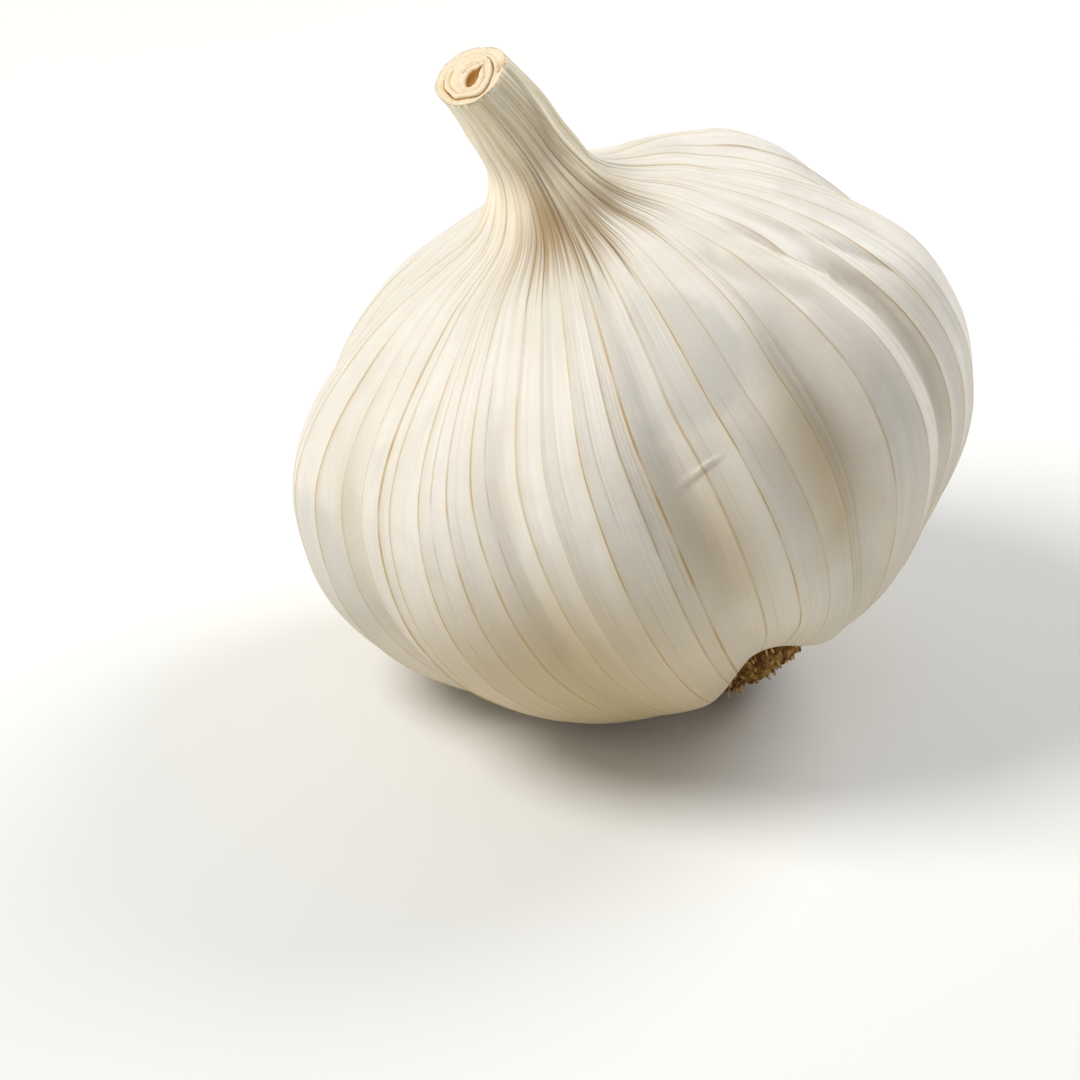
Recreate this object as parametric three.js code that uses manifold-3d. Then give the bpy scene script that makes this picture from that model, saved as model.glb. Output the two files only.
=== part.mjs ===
// A cured garlic bulb, its stem cut short and its roots trimmed back to a brown plate. It lies leaning to one
// side, as a loose bulb does, on the flattened bellies of its lowest lobes and on the rim of its root plate.
//
// Every shape is laid out along the bulb's own axis, root end down, and the whole is then leant over and cut
// level where it meets the ground. Millimetres, +Z up, +X to the right, -Y towards the viewer. The origin is
// on the ground, on the flat spot that the bulb rests on. Azimuths are in degrees round the axis, from +X.

import * as THREE from "three";
import { mergeVertices } from "three/addons/utils/BufferGeometryUtils.js";
import Module from "manifold-3d";

const wasm = await Module();
wasm.setup();

// How it lies: the lean of its axis in degrees, and the ground point under it in the leant frame
const LEAN_LEFT = 22.5;
const LEAN_BACK = 3.0;
const GROUND_POINT = new THREE.Vector3(-18.0, 1.5, -2.25);

// Outline of the skin in the valleys between the lobes, as radius and height along the axis: from the edge of
// the root plate round the belly, over the shoulder and up the neck to the cut
const OUTLINE = [
  [6.5, 4.8], [10.0, 3.5], [16.0, 3.9], [20.0, 6.5], [24.0, 11.2], [27.8, 17.4], [29.4, 24.5], [28.1, 32.0],
  [24.6, 37.8], [19.2, 42.7], [12.5, 46.9], [8.1, 48.9], [5.6, 51.3], [4.0, 54.5], [3.9, 58.7], [3.75, 63.6],
];
const OUTLINE_STEPS = 36;
const CUT_HEIGHT = OUTLINE.at(-1)[1];

// The lobes, one for each outer clove, by the valley where it starts. rise is how far it swells out, crest is
// where it is fullest between its two valleys, and shoulder is how far its top stands up.
const LOBES = [
  { valley: -150, rise: 1.7, crest: 0.5, shoulder: 0.0 },
  { valley: -110, rise: 1.6, crest: 0.5, shoulder: 0.0 },
  { valley: -77, rise: 1.9, crest: 0.45, shoulder: 0.0 },
  { valley: -47, rise: 2.0, crest: 0.55, shoulder: 0.0 },
  { valley: -23, rise: 2.8, crest: 0.5, shoulder: -0.3 },
  { valley: 19, rise: 1.5, crest: 0.55, shoulder: 2.1 },
  { valley: 58, rise: 1.8, crest: 0.5, shoulder: 0.6 },
  { valley: 93, rise: 1.8, crest: 0.5, shoulder: 0.2 },
  { valley: 128, rise: 3.6, crest: 0.5, shoulder: 1.3 },
  { valley: 165, rise: 3.0, crest: 0.5, shoulder: 1.3 },
];
// Heights over which the lobes swell out of the base and sink into the neck, the same for their shoulders, and
// the radii over which they die out towards the root plate
const LOBES_RISE = [1, 14];
const LOBES_SINK = [30, 50];
const LOBES_LEFT = 0.15;
const LOBES_AT_ROOT = [6, 20];
const SHOULDERS_RISE = [24, 40];
const SHOULDERS_SINK = [42, 50];

// Next to the root plate the skin is drawn up on one side, so that the plate shows there
const DRAWN_UP = { azimuth: -73, spread: 24, height: 2.9, radii: [7, 12], heights: [5, 14] };

// The neck leaves the bulb a little to the right of its axis and bends to the left and towards the viewer
const NECK_SHIFT = 2.1;
const NECK_SHIFT_OVER = [34, 50];
const NECK_BEND = new THREE.Vector2(-2.7, -4.1);
const NECK_START = 46.0;
const NECK_LENGTH = 19.0;

// Veins run from root to cut: creases on the belly, which turn into grooves on the neck. The depth of the
// grooves is a share of the neck's radius, and they are worn shallower towards the cut.
const VEINS = 54;
const VEIN_SCATTER = 0.2;
const BELLY_CREASE = 0.16;
const CREASES_RISE = [5, 14];
const CREASES_SINK = [40, 47];
const NECK_GROOVE = 0.035;
const GROOVES_RISE = [42, 48];
const GROOVES_WEAR = [54, 63];
const GROOVES_WORN = 0.4;

// Coarser folds of the dried neck, their depth a share of its radius, and the free edge of its outermost leaf
const FOLDS = [
  { count: 7, depth: 0.045, turn: 20 },
  { count: 12, depth: 0.035, turn: 75 },
];
const FOLDS_RISE = [44, 52];
const SEAM = { azimuth: -32, width: 80, step: 0.5, heights: [45, 53] };

// The rolled inner leaf that shows in the cut end, and the bore of the outer leaf that it stands in
const GAP = 0.3;
const BORE_RADIUS = 2.65;
const BORE_FLOOR = 55.5;
const LEAF_RADIUS = BORE_RADIUS - GAP;
const LEAF_PROUD = 0.15;
const LEAF_HOLE = { radius: 0.6, oval: 0.45, turn: 60, depth: 3.0 };
const LEAF_COLUMNS = 36;

// The root plate: its middle beside the bulb's axis, its outline from the middle of its underside round the rim
// to its flat top, the lumps of its rim, and its roots
const PLATE_CENTRE = new THREE.Vector3(0.7, -0.4, 0);
const PLATE_OUTLINE = [[2.2, 1.3], [4.2, 0.5], [5.8, -0.4], [7.1, -0.2], [7.5, 1.1], [6.9, 2.7], [5.7, 4.5]];
const PLATE_STEPS = 8;
const PLATE_MIDDLE = 1.5;
const PLATE_COLUMNS = 36;
const PLATE_LUMPS = { depth: 0.16, counts: [5, 9], heights: [3.5, 4.5] };
const ROOT_SEED = 11;
const ROOT_ROWS = [
  { count: 22, radius: 5.9, height: 2.2, droop: 18, length: 2.0, thickness: 0.5 },
  { count: 16, radius: 5.4, height: 1.5, droop: 52, length: 2.0, thickness: 0.5 },
  { count: 8, radius: 3.4, height: 1.9, droop: 80, length: 1.6, thickness: 0.45 },
];
const ROOT_SIDES = 4;
const ROOT_TIP = 0.55;
const ROOT_VARIATION = 0.2;
const ROOT_DROOP_VARIATION = 8;

const DEGREE = Math.PI / 180;
const TURN = 2 * Math.PI;

const SKIN = new THREE.MeshStandardMaterial({ color: 0xe9e2d6, roughness: 0.5, metalness: 0 });
const DRY_LEAF = new THREE.MeshStandardMaterial({ color: 0xe8d3b2, roughness: 0.75, metalness: 0 });
const CORK = new THREE.MeshStandardMaterial({ color: 0x7c5d36, roughness: 0.9, metalness: 0 });

// 0 below the range, 1 above it, and an even ramp over it
function ramp([low, high], value) {
  return THREE.MathUtils.smoothstep(value, low, high);
}

// Points at even steps along a smooth curve through the points of an outline
function smoothOutline(points, steps) {
  const lengths = [0];
  for (let i = 1; i < points.length; i++) {
    const [r0, z0] = points[i - 1];
    const [r1, z1] = points[i];
    lengths.push(lengths[i - 1] + Math.hypot(r1 - r0, z1 - z0));
  }
  const slope = (i, axis) => {
    const a = Math.max(i - 1, 0);
    const b = Math.min(i + 1, points.length - 1);
    return (points[b][axis] - points[a][axis]) / (lengths[b] - lengths[a]);
  };
  const result = [];
  for (let k = 0; k <= steps; k++) {
    const s = (lengths.at(-1) * k) / steps;
    const i = Math.min(lengths.findLastIndex((length) => length <= s), points.length - 2);
    const span = lengths[i + 1] - lengths[i];
    const u = (s - lengths[i]) / span;
    const at = (axis) =>
      (2 * u ** 3 - 3 * u ** 2 + 1) * points[i][axis] +
      (u ** 3 - 2 * u ** 2 + u) * span * slope(i, axis) +
      (3 * u ** 2 - 2 * u ** 3) * points[i + 1][axis] +
      (u ** 3 - u ** 2) * span * slope(i + 1, axis);
    result.push([at(0), at(1)]);
  }
  return result;
}

// How far the lobe at an azimuth swells out, and how far its shoulder stands up
function lobeAt(azimuth) {
  for (let i = 0; i < LOBES.length; i++) {
    const lobe = LOBES[i];
    const next = LOBES[(i + 1) % LOBES.length];
    const width = THREE.MathUtils.euclideanModulo(next.valley - lobe.valley, 360);
    const across = THREE.MathUtils.euclideanModulo(azimuth - lobe.valley, 360) / width;
    if (across < 1) {
      const swell = Math.sin(Math.PI * across ** (Math.log(0.5) / Math.log(lobe.crest)));
      return { rise: lobe.rise * swell, shoulder: lobe.shoulder * swell };
    }
  }
}

// How far the skin is drawn up at an azimuth, next to the root plate
function drawnUpAt(azimuth, radius, height) {
  const away = Math.min(1, Math.abs(azimuth - DRAWN_UP.azimuth) / DRAWN_UP.spread);
  const near = ramp(DRAWN_UP.radii, radius) * (1 - ramp(DRAWN_UP.heights, height));
  return DRAWN_UP.height * Math.cos((away * Math.PI) / 2) ** 2 * near;
}

// Azimuth of a vein. The veins keep an uneven distance, by a rule.
function veinAzimuth(i) {
  const k = i % VEINS;
  const scatter = VEIN_SCATTER * (Math.sin(2.4 * k) + Math.sin(5.3 * k + 1));
  return (360 / VEINS) * (i + scatter) - 180;
}

// Radius added by the creases on the belly and the grooves of the neck, between a vein (0) and the next (1)
function veinRelief(across, radius, height) {
  const crease = BELLY_CREASE * ramp(CREASES_RISE, height) * (1 - ramp(CREASES_SINK, height));
  const worn = 1 - GROOVES_WORN * ramp(GROOVES_WEAR, height);
  const groove = NECK_GROOVE * radius * ramp(GROOVES_RISE, height) * worn;
  return (crease - groove) * Math.cos(TURN * across);
}

// Radius added by the folds of the neck and by the free edge of its outermost leaf
function neckRelief(azimuth, radius, height) {
  const folds = FOLDS.reduce((sum, f) => sum + f.depth * Math.sin((f.count * azimuth + f.turn) * DEGREE), 0);
  const fromSeam = THREE.MathUtils.euclideanModulo(azimuth - SEAM.azimuth, 360) / SEAM.width;
  const step = Math.max(0, SEAM.step * (1 - fromSeam));
  return radius * folds * ramp(FOLDS_RISE, height) + step * ramp(SEAM.heights, height);
}

// A point of a section that is square to the neck's bent centre line, at a height along the bulb's axis
function onAxis(radius, azimuth, height) {
  const t = Math.max(0, (height - NECK_START) / NECK_LENGTH);
  const centre = new THREE.Vector3(NECK_SHIFT * ramp(NECK_SHIFT_OVER, height), 0, height);
  centre.x += NECK_BEND.x * t * t;
  centre.y += NECK_BEND.y * t * t;
  const slope = (2 * t) / NECK_LENGTH;
  const along = new THREE.Vector3(NECK_BEND.x * slope, NECK_BEND.y * slope, 1).normalize();
  const square = new THREE.Quaternion().setFromUnitVectors(new THREE.Vector3(0, 0, 1), along);
  const spoke = new THREE.Vector3(Math.cos(azimuth * DEGREE), Math.sin(azimuth * DEGREE), 0);
  return spoke.multiplyScalar(radius).applyQuaternion(square).add(centre);
}

// A point of the outer skin, from a point of the outline, an azimuth and the way across its panel
function skinPoint(radius, height, azimuth, across) {
  const lobe = lobeAt(azimuth);
  const swelling = LOBES_LEFT + (1 - LOBES_LEFT) * ramp(LOBES_RISE, height) * (1 - ramp(LOBES_SINK, height));
  const full = radius + lobe.rise * swelling * ramp(LOBES_AT_ROOT, radius);
  const relief = veinRelief(across, radius, height) + neckRelief(azimuth, radius, height);
  const raised = ramp(SHOULDERS_RISE, height) * (1 - ramp(SHOULDERS_SINK, height));
  const lift = lobe.shoulder * raised + drawnUpAt(azimuth, radius, height);
  return onAxis(full + relief, azimuth, height + lift);
}

// Closed surface through a first point, rings of equally many points that turn anticlockwise, and a last point
function closedSurface(first, rings, last) {
  const columns = rings[0].length;
  const points = [first, ...rings.flat(), last];
  const end = points.length - 1;
  const at = (k, j) => 1 + k * columns + (j % columns);
  const faces = [];
  for (let j = 0; j < columns; j++) {
    faces.push(0, at(0, j + 1), at(0, j));
    for (let k = 0; k < rings.length - 1; k++) {
      faces.push(at(k, j), at(k, j + 1), at(k + 1, j + 1));
      faces.push(at(k, j), at(k + 1, j + 1), at(k + 1, j));
    }
    faces.push(end, at(rings.length - 1, j), at(rings.length - 1, j + 1));
  }
  const geometry = new THREE.BufferGeometry().setFromPoints(points);
  geometry.setIndex(faces);
  return geometry;
}

function toSolid(geometry) {
  const bare = geometry.clone();
  bare.deleteAttribute("normal");
  bare.deleteAttribute("uv");
  const merged = mergeVertices(bare);
  const mesh = new wasm.Mesh({
    numProp: 3,
    vertProperties: Float32Array.from(merged.attributes.position.array),
    triVerts: Uint32Array.from(merged.index.array),
  });
  return new wasm.Manifold(mesh);
}

function toGeometry(solid) {
  const mesh = solid.getMesh();
  const geometry = new THREE.BufferGeometry();
  geometry.setAttribute("position", new THREE.BufferAttribute(mesh.vertProperties, 3));
  geometry.setIndex(new THREE.BufferAttribute(mesh.triVerts, 1));
  geometry.computeVertexNormals();
  return geometry;
}

// The bulb's papery skin over its lobes, in one piece with the outer leaf of its neck
function bulbSolid() {
  const columns = [];
  for (let i = 0; i < VEINS; i++) {
    columns.push({ azimuth: veinAzimuth(i), across: 0 });
    columns.push({ azimuth: (veinAzimuth(i) + veinAzimuth(i + 1)) / 2, across: 0.5 });
  }
  const rings = smoothOutline(OUTLINE, OUTLINE_STEPS).map(([radius, height]) =>
    columns.map(({ azimuth, across }) => skinPoint(radius, height, azimuth, across)),
  );
  for (const height of [CUT_HEIGHT - GAP / 2, (CUT_HEIGHT + BORE_FLOOR) / 2, BORE_FLOOR]) {
    rings.push(columns.map(({ azimuth }) => onAxis(BORE_RADIUS, azimuth, height)));
  }
  return toSolid(closedSurface(onAxis(0, 0, OUTLINE[0][1]), rings, onAxis(0, 0, BORE_FLOOR)));
}

// The rolled inner leaf: a plug in the bore, whose oval hole is the space inside its last turn
function innerLeafSolid() {
  const azimuths = Array.from({ length: LEAF_COLUMNS }, (_, j) => (360 / LEAF_COLUMNS) * j);
  const ring = (radius, height) => azimuths.map((azimuth) => onAxis(radius, azimuth, height));
  const holeRing = (height) =>
    azimuths.map((azimuth) => {
      const oval = 1 + LEAF_HOLE.oval * Math.cos(2 * (azimuth - LEAF_HOLE.turn) * DEGREE);
      return onAxis(LEAF_HOLE.radius * oval, azimuth, height);
    });
  const foot = BORE_FLOOR + GAP;
  const top = CUT_HEIGHT + LEAF_PROUD;
  const holeFoot = top - LEAF_HOLE.depth;
  const rings = [
    ring(LEAF_RADIUS, foot),
    ring(LEAF_RADIUS, (foot + top) / 2),
    ring(LEAF_RADIUS, top - LEAF_PROUD),
    ring(LEAF_RADIUS - LEAF_PROUD, top),
    ring((LEAF_RADIUS + LEAF_HOLE.radius) / 2, top),
    holeRing(top - LEAF_PROUD),
    holeRing(holeFoot),
  ];
  return toSolid(closedSurface(onAxis(0, 0, foot), rings, onAxis(0, 0, holeFoot)));
}

// The same numbers from 0 to 1 each time, from a seed
function seededRandom(seed) {
  let state = seed;
  return () => {
    state = (state * 1103515245 + 12345) % 2147483648;
    return state / 2147483648;
  };
}

// The corky disc that the roots grow from, lumpy round its rim
function plateDisc() {
  const rings = smoothOutline(PLATE_OUTLINE, PLATE_STEPS).map(([radius, height]) =>
    Array.from({ length: PLATE_COLUMNS }, (_, j) => {
      const azimuth = (360 / PLATE_COLUMNS) * j;
      const wave = (count) => Math.sin(count * (azimuth + count) * DEGREE);
      const waves = PLATE_LUMPS.counts.reduce((sum, count) => sum + wave(count), 0);
      const lump = PLATE_LUMPS.depth * waves * (1 - ramp(PLATE_LUMPS.heights, height));
      return onAxis(radius + lump, azimuth, height);
    }),
  );
  return closedSurface(onAxis(0, 0, PLATE_MIDDLE), rings, onAxis(0, 0, PLATE_OUTLINE.at(-1)[1]));
}

// One trimmed root: a short cone, its base sunk in the disc, that points outwards and droops
function rootStub(row, azimuth, random) {
  const vary = (share) => 1 + share * (2 * random() - 1);
  const length = row.length * vary(ROOT_VARIATION);
  const thickness = row.thickness * vary(ROOT_VARIATION);
  const droop = (row.droop + ROOT_DROOP_VARIATION * (2 * random() - 1)) * DEGREE;
  const stub = new THREE.CylinderGeometry(ROOT_TIP * thickness, thickness, length, ROOT_SIDES);
  const outwards = new THREE.Vector3(Math.cos(azimuth * DEGREE), Math.sin(azimuth * DEGREE), 0);
  const along = outwards.multiplyScalar(Math.cos(droop)).setZ(-Math.sin(droop));
  const middle = onAxis(row.radius, azimuth, row.height).addScaledVector(along, length / 2);
  stub.applyQuaternion(new THREE.Quaternion().setFromUnitVectors(new THREE.Vector3(0, 1, 0), along));
  return stub.translate(middle.x, middle.y, middle.z);
}

function rootPlateSolid() {
  const random = seededRandom(ROOT_SEED);
  let plate = toSolid(plateDisc());
  for (const row of ROOT_ROWS) {
    for (let i = 0; i < row.count; i++) {
      const azimuth = (360 / row.count) * (i + 0.5 * random());
      plate = plate.add(toSolid(rootStub(row, azimuth, random)));
    }
  }
  return plate.translate(PLATE_CENTRE.toArray());
}

// The leant frame, with the ground point at its origin
const leaning = new THREE.Group();
leaning.rotation.set(-LEAN_BACK * DEGREE, -LEAN_LEFT * DEGREE, 0, "XYZ");
leaning.position.copy(GROUND_POINT).negate();
leaning.updateMatrixWorld(true);

// What is below the ground, as a block in the bulb's own frame
const GROUND_BLOCK = 120;
const ground = new THREE.BoxGeometry(GROUND_BLOCK, GROUND_BLOCK, GROUND_BLOCK);
ground.translate(0, 0, -GROUND_BLOCK / 2);
ground.applyMatrix4(leaning.matrixWorld.clone().invert());
const groundSolid = toSolid(ground);

function addPiece(name, solid, material) {
  const piece = new THREE.Mesh(toGeometry(solid.subtract(groundSolid)), material);
  piece.name = name;
  leaning.add(piece);
}

addPiece("bulb", bulbSolid(), SKIN);
addPiece("neck_inner_leaf", innerLeafSolid(), DRY_LEAF);
addPiece("root_plate", rootPlateSolid(), CORK);

const garlic = new THREE.Group();
garlic.add(leaning);

export default garlic;
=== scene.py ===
# Looks of the garlic bulb: its papery skin, the cut end of its neck and its trimmed roots, with the light and
# the camera. Shapes are laid out in the bulb's own frame, in millimetres with its axis upright, as the packed
# model's are, then leant over and changed to metres. Azimuths, turns and droops are in degrees.

import math

import bpy
import numpy as np
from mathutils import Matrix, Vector


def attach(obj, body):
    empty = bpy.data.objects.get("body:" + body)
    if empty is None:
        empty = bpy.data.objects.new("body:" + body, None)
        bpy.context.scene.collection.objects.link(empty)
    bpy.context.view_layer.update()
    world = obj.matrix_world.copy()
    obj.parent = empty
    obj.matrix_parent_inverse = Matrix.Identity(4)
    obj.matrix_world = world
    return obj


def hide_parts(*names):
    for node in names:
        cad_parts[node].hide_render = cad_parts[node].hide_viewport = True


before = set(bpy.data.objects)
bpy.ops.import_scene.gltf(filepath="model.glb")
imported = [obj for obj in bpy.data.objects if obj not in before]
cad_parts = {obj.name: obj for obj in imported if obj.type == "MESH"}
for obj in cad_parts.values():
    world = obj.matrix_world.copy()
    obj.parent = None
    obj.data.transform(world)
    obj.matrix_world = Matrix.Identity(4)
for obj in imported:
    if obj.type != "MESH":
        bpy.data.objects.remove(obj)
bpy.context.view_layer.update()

MM = 0.001

# How the bulb lies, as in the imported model
LEAN_LEFT = math.radians(22.5)
LEAN_BACK = math.radians(3.0)
GROUND_POINT = np.array([-18.0, 1.5, -2.25])

# Outline of the skin in the valleys between the lobes, as radius and height
OUTLINE = [
    (6.5, 4.8), (10.0, 3.5), (16.0, 3.9), (20.0, 6.5), (24.0, 11.2), (27.8, 17.4), (29.4, 24.5),
    (28.1, 32.0), (24.6, 37.8), (19.2, 42.7), (12.5, 46.9), (8.1, 48.9), (5.6, 51.3), (4.0, 54.5),
    (3.9, 58.7), (3.75, 63.6),
]
ROOT_EDGE_HEIGHT = OUTLINE[0][1]
CUT_RADIUS, CUT_HEIGHT = OUTLINE[-1]

# Valley where each lobe starts, how far it swells out, where its crest is, and how far its shoulder stands up
LOBES = [
    (-150, 1.7, 0.5, 0.0), (-110, 1.6, 0.5, 0.0), (-77, 1.9, 0.45, 0.0), (-47, 2.0, 0.55, 0.0),
    (-23, 2.8, 0.5, -0.3), (19, 1.5, 0.55, 2.1), (58, 1.8, 0.5, 0.6), (93, 1.8, 0.5, 0.2),
    (128, 3.6, 0.5, 1.3), (165, 3.0, 0.5, 1.3),
]
# Heights over which the lobes and their shoulders rise and sink, what is left of the lobes outside them, and
# radii over which they start beside the root plate
LOBES_RISE = (1, 14)
LOBES_SINK = (30, 50)
LOBES_LEFT = 0.15
LOBES_AT_ROOT = (6, 20)
SHOULDERS_RISE = (24, 40)
SHOULDERS_SINK = (42, 50)
# Where the skin is drawn up beside the root plate, and the radii and heights over which that starts and ends
DRAWN_UP_AZIMUTH = -73
DRAWN_UP_SPREAD = 24
DRAWN_UP = 2.9
DRAWN_UP_START = (7, 12)
DRAWN_UP_END = (5, 14)

# The neck: how it shifts and bends, its folds as turns, share of the radius and phase, and the free edge of
# its outermost leaf. Each pair but NECK_BEND holds the heights over which one of these starts or changes.
NECK_SHIFT = 2.1
NECK_SHIFTS = (34, 50)
NECK_BEND = (-2.7, -4.1)
NECK_START = 46.0
NECK_LENGTH = 19.0
FOLDS = [(7, 0.027, 20), (12, 0.021, 75)]
FOLDS_START = (46, 52)
FOLDS_SOFTEN = (58, 63)
FOLDS_SOFTER = 0.6
SEAM_AZIMUTH = -46
SEAM_TURN = 30
SEAM_TURNS = (50, 66)
SEAM_WIDTH = 80
SEAM_RISE = 3.5
SEAM_STEP = 0.34
SEAM_START = (45, 53)
SQUEEZE_START = (55, 62.5)
# The notch behind the neck, above the shoulder
NOTCH_AZIMUTH = 20
NOTCH_SPREAD = 85
NOTCH_HEIGHT = 50.2
NOTCH_REACH = 2.5
NOTCH_DEPTH = 1.7
# Section of the neck at its cut, where it is squeezed: azimuth and radius
CUT_SECTION = [
    (-180, 3.1), (-150, 2.8), (-107, 3.1), (-70, 3.65), (-38, 3.9), (10, 3.55), (50, 3.1), (86, 3.5),
    (130, 3.85), (157, 3.6), (180, 3.1),
]

# Heights over which the relief of the belly starts and ends, and that of the neck's gathers and grooves
BELLY_START = (4, 12)
BELLY_END = (43.5, 47.5)
UNEVEN_END = (44, 50)
GATHERS_START = (41, 46.5)
GATHERS_END = (49, 53)
GROOVES_START = (46, 50)
GROOVES_END = (56, 63)
FIBRES_START = (45, 50)

# Veins and what runs between them: how many, how far they stray, how high or deep they stand, and how wide
VEINS = 54
VEIN_SCATTER = 0.2
VEIN_WANDER = 0.45
WANDER_ENDS = (46, 52)
BELLY_CREASE = 0.2
CREASE_MOST = 1.1
CREASE_PANEL = 2.8
CREASE_SHARP = 1.4
RIB_HEIGHT = 0.035
RIB_WIDTH = 0.14
NECK_GROOVE = 0.012
GROOVES_SOFTER = 0.7
GATHERS = 0.028
GATHERS_SOFTER = 0.4
GATHERS_FULL_RADIUS = 8
FIBRES = 0.012
UNEVEN = 0.1
INSET = 0.13

# Columns of each panel, closest at its veins, and rings from root to cut, closest over the tear
PANEL_COLUMNS = np.array([0, 0.035, 0.08, 0.15, 0.25, 0.37, 0.5, 0.63, 0.75, 0.85, 0.92, 0.965])
RINGS = 129
TEAR_RINGS = np.arange(29.9, 32.4, 0.16)
TEAR_RINGS_GAP = 0.1

rng = np.random.default_rng(7)
VEIN_STRENGTH = np.where(rng.random(VEINS) < 0.3, rng.uniform(0.6, 0.9, VEINS), rng.uniform(0.15, 0.5, VEINS))
GROOVE_STRENGTH = rng.uniform(0.2, 1.3, VEINS)
# Each valley: azimuth, depth, lowest and highest height, bend towards the neck, how far it reaches to either
# side, 1 where it is sharp or 2 where it is soft, and how much painted shade browns it. The one that stands
# out is a crest.
VALLEYS = [
    (-150, 0.3, 8, 46, 0, 2.6, 2.6, 2, 0.3), (-110, 0.4, 12, 46, 3, 0.5, 2.6, 1, 0.2),
    (-72.5, 0.75, 8, 38, 2, 5.0, 2.6, 2, 0.7), (-48, 1.05, 8, 41, -4, 5.6, 2.4, 2, 0.85),
    (-32, -0.55, 14, 46, -4, 4.0, 3.6, 2, 0.0), (-19.5, 0.6, 15, 46, -14, 3.0, 0.5, 1, 0.25),
    (-13, 0.28, 26, 46, -10, 1.8, 0.4, 1, 0.0), (19, 0.4, 8, 46, -8, 2.4, 0.8, 1, 0.2),
    (58, 0.45, 8, 46, -4, 2.8, 2.4, 2, 0.4), (93, 0.4, 8, 46, 0, 2.6, 2.6, 2, 0.3),
    (128, 0.4, 8, 46, 0, 2.0, 1.0, 1, 0.25), (165, 0.45, 8, 46, 6, 2.6, 2.6, 2, 0.4),
]
# Heights over which the valleys bend, and over how much height each starts, ends and loses its painted shade
VALLEYS_BEND = (32.5, 46)
VALLEY_START = 9
VALLEY_END = 8
VALLEY_SHADE_END = 15
# A small tear: azimuth of its ends, height of the first, rise to the second and bow between them. Then its
# lifted lip and the hollow below it, each with its width.
TEAR = (-78.2, -69.6, 30.0, 1.7, 0.4)
TEAR_LIP = (0.22, 0.19)
TEAR_HOLLOW = (0.1, 0.25)
TEAR_HOLLOW_BELOW = 0.4
# Hollows and bumps where the paper sags between two cloves: azimuth and height of both ends, rise and width
PUCKERS = [
    ((-33, 43.8), (-28, 41.4), -0.22, 0.9),
    ((-30, 40.6), (-24.5, 38.0), -0.28, 1.0),
    ((-26, 36.2), (-23, 32.6), -0.2, 1.0),
    ((-45, 43.2), (-38.5, 38.2), -0.3, 1.0),
    ((-41, 43.0), (-35, 38.4), 0.14, 0.8),
    ((-29, 37.4), (-25, 36.2), 0.22, 0.55),
    ((60, 41.0), (68, 36.0), -0.22, 1.1),
    ((104, 42.0), (98, 37.0), -0.22, 1.0),
    ((160, 40.0), (168, 34.0), -0.25, 1.2),
]
# Places where the outer skin has rubbed off: azimuth, height, half their width in degrees, half their height
PATCHES = [(-68, 39.6, 15, 5.4), (30, 30, 16, 8), (112, 37, 14, 6), (-165, 26, 12, 9), (75, 16, 18, 7)]
# Where the skin is brown: the heights above which the painted shade in the valleys starts, the side that is
# partly real tan and partly painted shade with the heights at which it ends, and the ring beside the root
# plate with the radii and heights at which it ends
VALLEY_SHADE_FROM = (12, 20)
TAN_AND_SHADE_AZIMUTH = -112
TAN_AND_SHADE_SPREAD = 34
TAN_AND_SHADE = 0.95
TAN_AND_SHADE_ENDS = (17, 33)
ROOT_STAIN = 1.1
ROOT_STAIN_RAGGED = 0.8
ROOT_STAIN_OUT_TO = (7.6, 10.4)
ROOT_STAIN_UP_TO = (8, 12)
# Where the tan neck starts: in front, and higher from these distances round to the back
NECK_FRONT = -75
TAN_HEIGHT = 46.8
TAN_HIGHER_BEHIND = 3.2
BEHIND_FROM = (32, 72)
TONGUE_AZIMUTH = -77
TONGUE_WIDTH = 4.5
TONGUE_LENGTH = 1.6

# The bore inside the outer leaf: its radius, how much of the section's squeeze it has, and its bumps, as
# azimuth, height and spread. Then the way down: how far below the cut, and how much narrower than the edge.
BORE_RADIUS = 2.65
BORE_SQUEEZE = 0.55
SECTION_RADIUS = 3.5
BORE_BUMPS = [(-72, 0.4, 22), (120, 0.3, 24)]
BORE_WALL = [(0.12, 0.985), (0.28, 0.955), (0.5, 0.9), (2.0, 0.8)]
# The rim of the cut: share of the way from its outer edge to the bore, and rise
RIM = [(0.04, -0.02), (0.12, 0.03), (0.3, 0.0), (0.5, -0.03), (0.7, 0.0), (0.88, 0.02), (0.97, -0.03)]
RIM_BELOW = 0.05
# The small dark gap in the rim where the outermost leaf's edge starts
GAP_AZIMUTH = -16
GAP_SHARE = 0.4
GAP_SKEW = 20
GAP_WIDTH = 7.5
GAP_REACH = 0.35
GAP_DEPTH = 0.8


def ramp(low, high, value):
    """0 below the range, 1 above it, and a smooth rise over it."""
    t = np.clip((value - low) / (high - low), 0, 1)
    return t * t * (3 - 2 * t)


def bell(away, width):
    """1 in the middle, fading evenly to both sides."""
    return np.exp(-((away / width) ** 2))


def off_azimuth(azimuth, middle):
    """Degrees from a middle azimuth, from -180 to 180."""
    return (azimuth - middle + 180) % 360 - 180


def smooth_outline(points, steps):
    """Radius and height at even steps along a smooth curve through the points."""
    points = np.array(points, float)
    lengths = np.concatenate([[0], np.cumsum(np.hypot(*np.diff(points, axis=0).T))])
    last = len(points) - 1
    before = np.maximum(np.arange(last + 1) - 1, 0)
    after = np.minimum(np.arange(last + 1) + 1, last)
    slopes = (points[after] - points[before]) / (lengths[after] - lengths[before])[:, None]
    s = np.linspace(0, lengths[-1], steps + 1)
    i = np.clip(np.searchsorted(lengths, s, side="right") - 1, 0, last - 1)
    span = (lengths[i + 1] - lengths[i])[:, None]
    u = (s - lengths[i])[:, None] / span
    curve = (
        (2 * u**3 - 3 * u**2 + 1) * points[i]
        + (u**3 - 2 * u**2 + u) * span * slopes[i]
        + (3 * u**2 - 2 * u**3) * points[i + 1]
        + (u**3 - u**2) * span * slopes[i + 1]
    )
    return curve[:, 0], curve[:, 1]


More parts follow.
